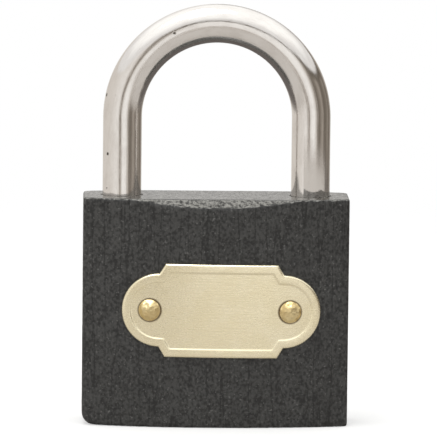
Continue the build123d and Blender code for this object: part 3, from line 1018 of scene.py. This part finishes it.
@dataclass
class ShackleBar:
    """The bent bar, as one smooth net: long heel leg with its neck, bow, notched toe leg."""

    neck_radius: float = 2.3
    collar: float = 3.0
    neck_top: float = 31.55
    end_round: float = 0.6
    turn_edge: float = 0.12
    notch_depth: float = 2.3
    notch_half_height: float = 2.1
    toe_below_notch: float = 2.7
    around: int = 72
    bow_steps: int = 96

    def __post_init__(self) -> None:
        """Measure the bar and what it fits."""
        self.box = Extent.of("shackle")
        self.radius = self.box.size.y / 2
        self.leg_x = self.box.high.x - self.radius
        self.bow_z = self.box.high.z - self.radius - self.leg_x
        self.bolt_z = Extent.of("locking_bolt").centre.z
        self.toe_z = self.bolt_z - self.notch_half_height - self.toe_below_notch

    def climb(self, bm: BMesh, ring: list, start: tuple[float, float],
              stations: list[tuple[float, float]]) -> list:
        """Carry a ring of edges up or down its leg, from station to station.

        Args:
            bm: The shape.
            ring: The ring's edges.
            start: The ring's height and radius.
            stations: The heights that it stops at, with its radius at each.

        Returns:
            The last ring's edges.
        """
        height, radius = start
        for z, wide in stations:
            grown = bmesh.ops.extrude_edge_only(bm, edges=ring)["geom"]
            verts = [v for v in grown if isinstance(v, bmesh.types.BMVert)]
            centre = sum((v.co for v in verts), Vector()) / len(verts)
            scale = (wide / radius, wide / radius, 1)
            bmesh.ops.scale(bm, vec=scale, space=Matrix.Translation(-centre), verts=verts)
            bmesh.ops.translate(bm, vec=(0, 0, z - height), verts=verts)
            ring = [e for e in grown if isinstance(e, bmesh.types.BMEdge)]
            height, radius = z, wide
        return ring

    def bar(self) -> BMesh:
        """Form the bar from its heel foot, over the bow, to its toe.

        Returns:
            The bar without its notch.
        """
        r, neck, soft, edge = self.radius, self.neck_radius, self.end_round, self.turn_edge
        foot = self.box.low.z
        collar_top = foot + self.collar
        bm = bmesh.new()
        bmesh.ops.create_circle(
            bm, segments=self.around, radius=r - soft, cap_ends=True,
            matrix=Matrix.Translation((-self.leg_x, 0, foot)),
        )
        ring = self.climb(bm, list(bm.edges), (foot, r - soft), [
            (foot + soft * 0.3, r - soft * 0.3), (foot + soft, r), (collar_top - edge, r),
            (collar_top, r - edge), (collar_top, neck), (self.neck_top, neck),
            (self.neck_top, r - edge), (self.neck_top + edge, r), (self.bow_z, r),
        ])
        bent = bmesh.ops.spin(
            bm, geom=ring, cent=(0, 0, self.bow_z), axis=(0, 1, 0), angle=math.pi, steps=self.bow_steps
        )["geom_last"]
        ring = [e for e in bent if isinstance(e, bmesh.types.BMEdge)]
        ring = self.climb(bm, ring, (self.bow_z, r), [
            (self.toe_z + soft, r), (self.toe_z + soft * 0.3, r - soft * 0.3), (self.toe_z, r - soft),
        ])
        bmesh.ops.contextual_create(bm, geom=ring)
        bmesh.ops.remove_doubles(bm, verts=bm.verts, dist=0.0005)
        bmesh.ops.recalc_face_normals(bm, faces=bm.faces)
        return bm

    def notch(self) -> BMesh:
        """Shape what is milled out of the toe leg's inner side.

        Returns:
            A block for the cut.
        """
        deep = self.radius + self.notch_depth
        inner = self.leg_x - 2 * self.radius
        size = (deep, 4 * self.radius, 2 * self.notch_half_height)
        return cuboid(size, (inner + deep / 2, 0, self.bolt_z))

    def straightened(self, point: Vector) -> Vector:
        """Find where a point of the bar would be if the bar were straight, along Z.

        Args:
            point: The point, in metres.

        Returns:
            The point on the straight bar, in metres.
        """
        up = point.z - self.bow_z * MM
        leg = self.leg_x * MM
        if up <= 0:
            side = math.copysign(1, point.x)
            return Vector((side * point.x - leg, point.y, side * (leg * math.pi / 2 - up)))
        return Vector((math.hypot(point.x, up) - leg, point.y, math.atan2(point.x, up) * leg))

    def make(self, plating: Material) -> Object:
        """Build the shackle and dress it.

        Args:
            plating: Its finish.

        Returns:
            The shackle's object.
        """
        bar = carved(self.bar(), [self.notch()], "bar")
        shackle = finished(bar, "shackle_bright", 30)
        straight = shackle.data.attributes.new("straightened", "FLOAT_VECTOR", "POINT")
        values = [c for vert in shackle.data.vertices for c in self.straightened(vert.co)]
        straight.data.foreach_set("vector", values)
        shackle.data.materials.append(plating)
        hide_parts("shackle")
        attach(shackle, Body.SHACKLE.value)
        return shackle


@dataclass
class Nameplate:
    """The pressed brass plate, bent round the body's front, and its two drive rivets."""

    casting: BodyCasting
    ear_radius: float = 6.93
    half_height: float = 8.83
    corner_run: float = 1.15
    half_length: float = 18.6
    thickness: float = 0.5
    rise: float = 0.2
    shoulder: float = 0.5
    shoulder_rise: float = 0.45
    rim: float = 0.88
    slope: float = 0.54
    tilt: float = 0.5
    column: float = 0.6
    head_radius: float = 2.05
    head_height: float = 1.15
    head_steps: int = 14
    head_around: int = 56
    struck_from: float = 0.1
    hammering: float = 0.26
    shank_radius: float = 0.8
    shank_length: float = 4.0

    # (how far in from the head's widest ring, height) where the head turns under
    lip: ClassVar[tuple[tuple[float, float], ...]] = ((0.02, 0.12), (0.05, 0.0))
    # shares of the rise that the slope into the panel falls by, step after step
    falls: ClassVar[tuple[float, ...]] = (0.06, 0.24, 0.4, 0.24, 0.06)

    def __post_init__(self) -> None:
        """Find the plate's middle from the model."""
        self.centre = Extent.of("nameplate").centre

    def outline(self) -> BMesh:
        """Draw the flat plate's outline as one face.

        Returns:
            The face, in the XZ plane round the origin.
        """
        bm = bmesh.new()
        ear_x = self.half_length - self.ear_radius
        corner = ear_x - self.corner_run
        top = bm.verts.new((0, 0, self.half_height))
        high = bm.verts.new((corner, 0, self.half_height))
        shoulder = bm.verts.new((ear_x, 0, self.ear_radius))
        bm.edges.new((top, high))
        bm.edges.new((high, shoulder))
        bmesh.ops.spin(
            bm, geom=[shoulder], cent=(ear_x, 0, 0), axis=(0, 1, 0), angle=math.pi, steps=40
        )
        low = bm.verts.new((corner, 0, -self.half_height))
        bottom = bm.verts.new((0, 0, -self.half_height))
        last = min(bm.verts, key=lambda v: (v.co - Vector((ear_x, 0, -self.ear_radius))).length)
        bm.edges.new((last, low))
        bm.edges.new((low, bottom))
        bmesh.ops.mirror(bm, geom=[*bm.verts, *bm.edges], axis="X", merge_dist=0.001)
        bmesh.ops.remove_doubles(bm, verts=bm.verts, dist=0.001)
        bmesh.ops.contextual_create(bm, geom=bm.edges)
        return bm

    def pressed(self) -> BMesh:
        """Give the outline its thickness, raised rim and sunk panel, still flat.

        Returns:
            The flat plate, its back on the XZ plane and its front towards -Y.
        """
        bm = self.outline()
        bm.faces.ensure_lookup_table()
        face = bm.faces[0]
        if face.normal.y > 0:
            face.normal_flip()
        front = bmesh.ops.extrude_face_region(bm, geom=[face])["geom"]
        moved = [v for v in front if isinstance(v, bmesh.types.BMVert)]
        wall = self.thickness + self.rise - self.shoulder_rise
        bmesh.ops.translate(bm, vec=(0, -wall, 0), verts=moved)
        top = [f for f in front if isinstance(f, bmesh.types.BMFace)]
        for width, lift in self.profile():
            bmesh.ops.inset_region(bm, faces=top, thickness=width, depth=lift, use_even_offset=True)
        return bm

    def profile(self) -> list[tuple[float, float]]:
        """List the steps over the round shoulder and the flat rim into the panel.

        Returns:
            How far each step goes in from the edge, and up.
        """
        steps = []
        for number in range(6):
            low, high = math.radians(15 * number), math.radians(15 * (number + 1))
            width = self.shoulder * (math.cos(low) - math.cos(high))
            steps.append((width, self.shoulder_rise * (math.sin(high) - math.sin(low))))
        steps.append((self.rim, 0.0))
        steps += [(self.slope / len(self.falls), -self.rise * fall) for fall in self.falls]
        return steps

    def bend(self, bm: BMesh) -> None:
        """Cut the plate into fine columns and lay it on the body's bowed front.

        Args:
            bm: The flat plate.
        """
        columns = int(self.half_length / self.column)
        cut_across(bm, ((number + 0.5) * self.column for number in range(-columns, columns)))
        turn = Matrix.Rotation(math.radians(self.tilt), 4, "Y")
        bmesh.ops.rotate(bm, matrix=turn, verts=bm.verts)
        for vert in bm.verts:
            vert.co = self.on_face(vert.co.x + self.centre.x, vert.co.z + self.centre.z, -vert.co.y)

    def on_face(self, x: float, z: float, height: float) -> Vector:
        """Find a point in front of the body.

        Args:
            x: Its x.
            z: Its z.
            height: How far it stands off the body's front.

        Returns:
            The point.
        """
        radius = self.casting.face_radius
        lean = math.asin(x / radius)
        reach = radius + height
        middle = radius - self.casting.half_depth
        return Vector((reach * math.sin(lean), middle - reach * math.cos(lean), z))

    def rivet(self, name: str, seed: float) -> BMesh:
        """Shape a rivet with a hand-struck dome.

        Args:
            name: The node that it stands for.
            seed: Where its hammer marks are read.

        Returns:
            The rivet in place.
        """
        box = Extent.of(name)
        seat = self.thickness
        foot = self.on_face(box.centre.x, box.centre.z, seat)
        lean = math.asin(foot.x / (self.casting.face_radius + seat))
        place = (Matrix.Translation(foot) @ Matrix.Rotation(lean, 4, "Z")
                 @ Matrix.Rotation(math.radians(90), 4, "X"))
        ball = (self.head_radius**2 + self.head_height**2) / (2 * self.head_height)
        sweep = math.asin(self.head_radius / ball)
        dome = [
            (ball * math.sin(angle), self.head_height - ball + ball * math.cos(angle))
            for angle in (sweep * step / self.head_steps for step in range(self.head_steps))
        ]
        lip = [(self.head_radius - inward, up) for inward, up in self.lip]
        end = -self.shank_length
        shank = [(self.shank_radius, 0.0), (self.shank_radius, end), (0, end)]
        bm = turned([*dome, *lip, *shank], self.head_around, Matrix.Identity(4))
        for vert in bm.verts:
            if vert.co.z > self.struck_from:
                mark = noise.fractal(vert.co * 0.9 + Vector((seed, 0, 0)), 0.9, 2.0, 3)
                vert.co.z += self.hammering * mark
        bmesh.ops.transform(bm, matrix=place, verts=bm.verts)
        return bm

    def make(self, sheet: Material, wire: Material) -> list[Object]:
        """Build the plate and its rivets and dress them.

        Args:
            sheet: The plate's finish.
            wire: The rivets' finish.

        Returns:
            The plate and the two rivets.
        """
        flat = self.pressed()
        self.bend(flat)
        plate = finished(flat, "nameplate_pressed", 50)
        plate.data.materials.append(sheet)
        weighted = plate.modifiers.new("even shading", "WEIGHTED_NORMAL")
        weighted.keep_sharp = True
        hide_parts("nameplate")
        pieces = [plate]
        for name, seed in (("rivet_left", 3.1), ("rivet_right", 8.7)):
            piece = finished(self.rivet(name, seed), name + "_struck", 60)
            piece.data.materials.append(wire)
            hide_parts(name)
            pieces.append(piece)
        for piece in pieces:
            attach(piece, Body.CASE.value)
        return pieces


@dataclass
class Works:
    """The pieces that work inside the body, which keep their own shapes."""

    finishes: dict[str, Material]

    def make(self, nodes: dict[str, Object]) -> list[Object]:
        """Give each inner piece its metal.

        Args:
            nodes: The mechanical model's objects by name.

        Returns:
            The pieces that were dressed.
        """
        dressed = []
        for name, obj in sorted(nodes.items()):
            finish = next((m for start, m in self.finishes.items() if name.startswith(start)), None)
            if finish is None:
                continue
            for slot in obj.material_slots:
                slot.material = finish
            dressed.append(obj)
        return dressed


# ---- Studio ----


@dataclass
class Studio:
    """Pale floor, soft surroundings, one overhead softbox and the camera."""

    azimuth: float = -1.35
    elevation: float = 6.53
    distance: float = 1.1
    roll: float = 0.61
    focal_length: float = 480.9
    aim: Vector = Vector((0.0005, 0.0, 0.03864))
    seam: float = 0.16
    seam_right_of: tuple[float, float] = (-16, -12)
    seam_above: tuple[float, float] = (0.24, 0.28)
    upper: Colour = (0.88, 0.87, 0.86)
    upper_above: tuple[float, float] = (0.32, 0.37)
    underneath: float = 0.5
    underneath_below: tuple[float, float] = (-0.16, -0.3)
    overhead: Colour = (1.25, 1.25, 1.23)
    overhead_above: tuple[float, float] = (0.42, 0.75)
    floor_pale: Colour = (0.86, 0.86, 0.855)
    floor_paler: Colour = (0.9, 0.9, 0.895)
    # Painted reflections: the floor as glossy rays see it, darker than it is, and near black behind the
    # lock
    floor_reflection_shade: Colour = (0.42, 0.40, 0.38)
    floor_reflection_shade_behind: Colour = (0.08, 0.07, 0.065)
    floor_seen: float = 0.5
    floor_radius: float = 0.42
    floor_gap: float = 0.05 * MM
    softbox_size: float = 0.4
    softbox_power: float = 2.8
    softbox_place: Vector = Vector((-0.12, -0.12, 0.75))
    softbox_aim: Vector = Vector((0, 0, 0.04))

    # (azimuth from straight in front in degrees, brightness) all the way round
    bands: ClassVar[tuple[tuple[float, float], ...]] = (
        (-180, 0.95), (-150, 0.72), (-80, 0.76), (-30, 0.92), (-20, 0.72), (-15, 0.16), (-9, 0.52),
        (-3, 0.95), (18, 1.02), (30, 0.66), (39, 0.21), (52, 0.19), (62, 0.34), (72, 0.4), (82, 0.17),
        (100, 0.2), (112, 0.33), (126, 0.15), (150, 0.45), (180, 0.95),
    )

    @staticmethod
    def tinted(level: float) -> Colour:
        """A brightness with its colour: the darker parts of the room are browner."""
        warm = max(0.0, 1 - level) * 0.3
        return (level, level * (0.985 - warm * 0.5), level * (0.96 - warm))

    def surroundings(self) -> None:
        """Light the scene from all round, paler to the left and above."""
        world = bpy.data.worlds.new("studio")
        bpy.context.scene.world = world
        world.use_nodes = True
        n = Nodes(world.node_tree)
        world.node_tree.nodes.clear()
        way = n.axes(n.add("TexCoord").outputs["Generated"])
        turn = n.math("ARCTAN2", way["X"], n.product(way["Y"], -1.0))
        ramp = n.add("ValToRGB")
        n.feed(ramp.inputs[0], n.math("ADD", n.math("DIVIDE", turn, math.tau), 0.5))
        stops = ramp.color_ramp.elements
        for azimuth, level in self.bands:
            at = azimuth / 360 + 0.5
            stop = stops[0] if azimuth == -180 else stops[-1] if azimuth == 180 else stops.new(at)
            stop.position = at
            stop.color = (*self.tinted(level), 1)
        right = n.spread(turn, *(math.radians(azimuth) for azimuth in self.seam_right_of))
        seam = n.product(n.spread(way["Z"], *self.seam_above), right)
        glow = n.mix(seam, ramp.outputs["Color"], self.tinted(self.seam))
        layers = (
            (self.upper_above, self.upper), (self.underneath_below, self.tinted(self.underneath)),
            (self.overhead_above, self.overhead),
        )
        for heights, colour in layers:
            glow = n.mix(n.spread(way["Z"], *heights), glow, colour)
        seen = n.add("LightPath").outputs["Is Camera Ray"]
        light = n.add("Background")
        n.feed(light.inputs["Color"], n.mix(seen, glow, (1.0, 1.0, 1.0)))
        out = n.add("OutputWorld")
        n.feed(out.inputs["Surface"], light.outputs[0])

    def softbox(self) -> None:
        """Hang one large soft light overhead, a little to the left and the front."""
        data = bpy.data.lights.new("softbox", "AREA")
        data.shape = "SQUARE"
        data.size = self.softbox_size
        data.energy = self.softbox_power
        lamp = bpy.data.objects.new("softbox", data)
        lamp.location = self.softbox_place
        toward = self.softbox_aim - self.softbox_place
        lamp.rotation_euler = toward.to_track_quat("-Z", "Y").to_euler()
        bpy.context.scene.collection.objects.link(lamp)

    def floor(self) -> None:
        """Lay a pale floor that fades into the surroundings and is open from below; in reflections it
        shows painted shade, darker, and near black behind the lock.
        """
        bm = bmesh.new()
        bmesh.ops.create_circle(bm, cap_ends=True, segments=96, radius=self.floor_radius)
        floor = as_object(bm, "floor")
        floor.location.z = -self.floor_gap
        f = Finish("pale_floor")
        place = f.object_place()
        far = f.vector("LENGTH", place).outputs["Value"]
        pale = f.mix(f.noise(place, 60.0, 3.0, 0.5), self.floor_pale, self.floor_paler)
        seen_by = f.add("LightPath").outputs
        # Painted shade in reflections: glossy rays get a dark floor, darkest behind the lock
        behind = f.spread(f.axes(place)["Y"], -0.01, 0.03)
        reflected_shade = f.mix(behind, self.floor_reflection_shade, self.floor_reflection_shade_behind)
        f.set("Base Color", f.mix(seen_by["Is Glossy Ray"], pale, reflected_shade))
        f.set("Roughness", 0.85)
        fading = f.spread(far, 0.14, self.floor_radius * 0.9, 1.0, 0.0)
        from_below = f.add("NewGeometry").outputs["Backfacing"]
        thinned = f.product(seen_by["Is Camera Ray"], 1 - self.floor_seen)
        solid = f.math("SUBTRACT", f.math("SUBTRACT", 1.0, from_below), thinned)
        f.set("Alpha", f.product(fading, f.math("MAXIMUM", solid, 0.0)))
        floor.data.materials.append(f.material)

    def camera(self) -> None:
        """Stand the camera a little above the lock, far off with a long lens."""
        data = bpy.data.cameras.new("camera")
        data.sensor_width = 36.0
        data.lens = self.focal_length
        data.clip_end = 10.0
        camera = bpy.data.objects.new("camera", data)
        rise, turn = math.radians(self.elevation), math.radians(self.azimuth)
        flat = Vector((math.sin(turn), -math.cos(turn), 0)) * math.cos(rise)
        away = (flat + Vector((0, 0, math.sin(rise)))) * self.distance
        camera.location = self.aim + away
        look = (-away).to_track_quat("-Z", "Y").to_matrix().to_4x4()
        tipped = look @ Matrix.Rotation(math.radians(self.roll), 4, "Z")
        camera.rotation_euler = tipped.to_euler()
        bpy.context.scene.collection.objects.link(camera)
        bpy.context.scene.camera = camera

    def make(self) -> None:
        """Set up everything that isn't the lock."""
        bpy.context.scene.view_settings.view_transform = "Standard"
        self.surroundings()
        self.softbox()
        self.floor()
        self.camera()


def report(kind: str, pieces: Iterable[Object]) -> None:
    """Log the pieces of one sub-assembly."""
    for piece in pieces:
        LOG.info("%s: %s, %d faces", kind, piece.name, len(piece.data.polygons))


def main() -> None:
    """Build the whole picture round the mechanical model."""
    logging.basicConfig(level=logging.INFO, format="%(name)s %(message)s")
    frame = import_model()
    enamel = Enamel().build()
    steel = BareSteel("bright_steel", (0.56, 0.55, 0.53), (0.35, 0.33, 0.30), 0.25).build()
    wire = BareSteel("spring_wire", (0.42, 0.41, 0.40), (0.22, 0.2, 0.18), 0.3).build()
    plain_brass = Brass("machined_brass", (0.74, 0.57, 0.30), (0.5, 0.36, 0.17), 0.3).build()
    rivets = [Extent.of(name).centre * MM for name in ("rivet_left", "rivet_right")]
    # The plate gets a ring of painted shade round both rivets
    plate_brass = Brass("plate_brass", (0.99, 0.905, 0.67), (0.93, 0.835, 0.575), 0.26, lumps=0.005 * MM,
                        rivet_shade_centres=tuple((spot.x, spot.z) for spot in rivets)).build()
    rivet_brass = Brass("rivet_brass", (0.88, 0.74, 0.43), (0.60, 0.42, 0.17), 0.34,
                        lumps=0.06 * MM).build()
    casting = BodyCasting()
    report("body", [casting.make(enamel)])
    report("shackle", [ShackleBar().make(PlatedSteel().build())])
    report("nameplate", Nameplate(casting).make(plate_brass, rivet_brass))
    works = Works({
        "locking_bolt": plain_brass, "key_pin": plain_brass, "key_plug": TurnedBrass().build(),
        "driver_pin": steel, "cam_pin": steel, "shackle_pin": enamel, "plug_retaining": enamel,
        "chamber_plug": enamel, "bolt_bore_plug": enamel, "pin_spring": wire, "bolt_spring": wire,
        "shackle_spring": wire,
    })
    report("works", works.make(frame["nodes"]))
    Studio().make()


if __name__ == "__main__":
    main()
